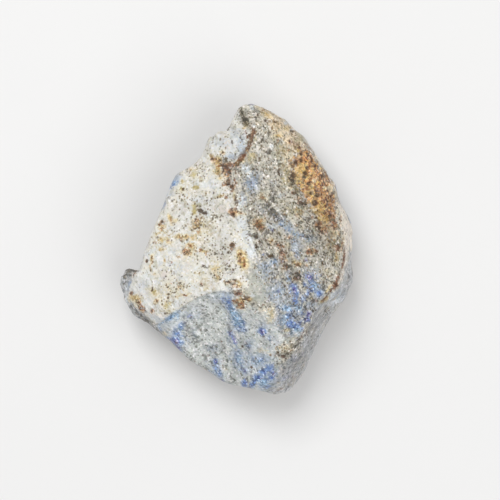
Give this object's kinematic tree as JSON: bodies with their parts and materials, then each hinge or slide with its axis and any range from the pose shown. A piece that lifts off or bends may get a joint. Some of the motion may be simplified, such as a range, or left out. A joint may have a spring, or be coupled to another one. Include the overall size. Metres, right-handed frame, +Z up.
{
  "type": "rough lapis lazuli stone",
  "caption": "Rough, unpolished piece of lapis lazuli with broken faces, a blunt pointed end, a curved long edge and a small flat spot on its back to lie on.",
  "frame": {"origin": "on the plane of the flat spot that the stone lies on, under the middle of its bounding box", "axes": "+Z up, away from the flat spot and out of the front; +Y along the length, towards the blunt pointed end; +X across the width, towards the long curved edge"},
  "size_m": [0.0402, 0.0494, 0.0223],
  "materials": {
    "lapis_lazuli": "rough broken surface, off-white to grey with blue patches and rust-brown stains, matt with faint glints"
  },
  "bodies": {
    "root": {"lapis_stone": "lapis_lazuli"}
  },
  "joints": []
}
